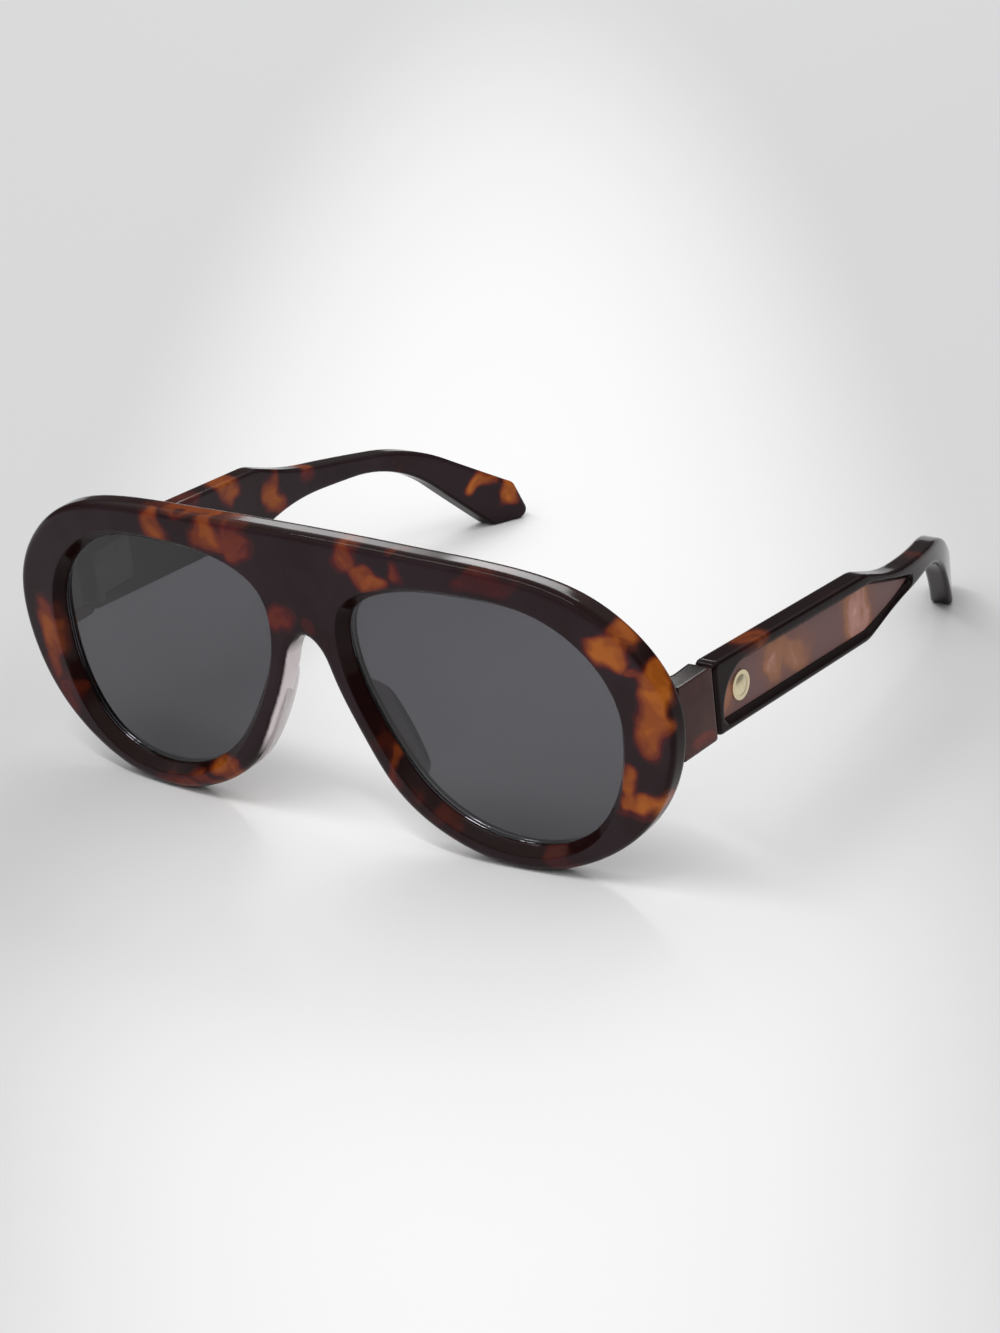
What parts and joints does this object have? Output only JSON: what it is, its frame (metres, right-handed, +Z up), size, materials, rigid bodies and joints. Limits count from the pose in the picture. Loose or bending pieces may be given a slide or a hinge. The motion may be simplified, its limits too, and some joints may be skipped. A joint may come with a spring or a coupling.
{
  "type": "sunglasses",
  "caption": "Oversized tortoiseshell acetate sunglasses with grey lenses, wide panelled temples and gold studs, folding on barrel hinges",
  "frame": {"origin": "On the table, in the middle of the open pair's width and depth", "axes": "+X to the wearer's left, +Y from the front to the temple tips, +Z up"},
  "size_m": [0.1468, 0.1334, 0.0586],
  "materials": {
    "tortoise_acetate": "polished",
    "grey_lens": "polished",
    "clear_acetate": "polished",
    "hinge_steel": "nickel plated",
    "gold_metal": "gold plated"
  },
  "bodies": {
    "front": {"front_frame": "tortoise_acetate", "lens_left": "grey_lens", "lens_right": "grey_lens", "nose_pad_left": "clear_acetate", "nose_pad_right": "clear_acetate", "end_piece_left": "tortoise_acetate", "end_piece_right": "tortoise_acetate", "hinge_front_leaf_left": "hinge_steel", "hinge_front_leaf_right": "hinge_steel", "hinge_pin_left": "hinge_steel", "hinge_pin_right": "hinge_steel", "front_leaf_screws_left": "hinge_steel", "front_leaf_screws_right": "hinge_steel"},
    "temple_arm_left": {"temple_left": "tortoise_acetate", "hinge_temple_leaf_left": "hinge_steel", "temple_leaf_screws_left": "hinge_steel", "temple_core_left": "hinge_steel", "temple_stud_left": "gold_metal"},
    "temple_arm_right": {"temple_right": "tortoise_acetate", "hinge_temple_leaf_right": "hinge_steel", "temple_leaf_screws_right": "hinge_steel", "temple_core_right": "hinge_steel", "temple_stud_right": "gold_metal"}
  },
  "joints": [
    {"name": "hinge_left", "type": "hinge", "parent": "front", "child": "temple_arm_left", "pos_m": [0.0676, -0.04634, 0.0304], "axis": [0, 0, 1], "range_deg": [0, 86]},
    {"name": "hinge_right", "type": "hinge", "parent": "front", "child": "temple_arm_right", "pos_m": [-0.0676, -0.04634, 0.0304], "axis": [0, 0, -1], "range_deg": [0, 78]}
  ]
}
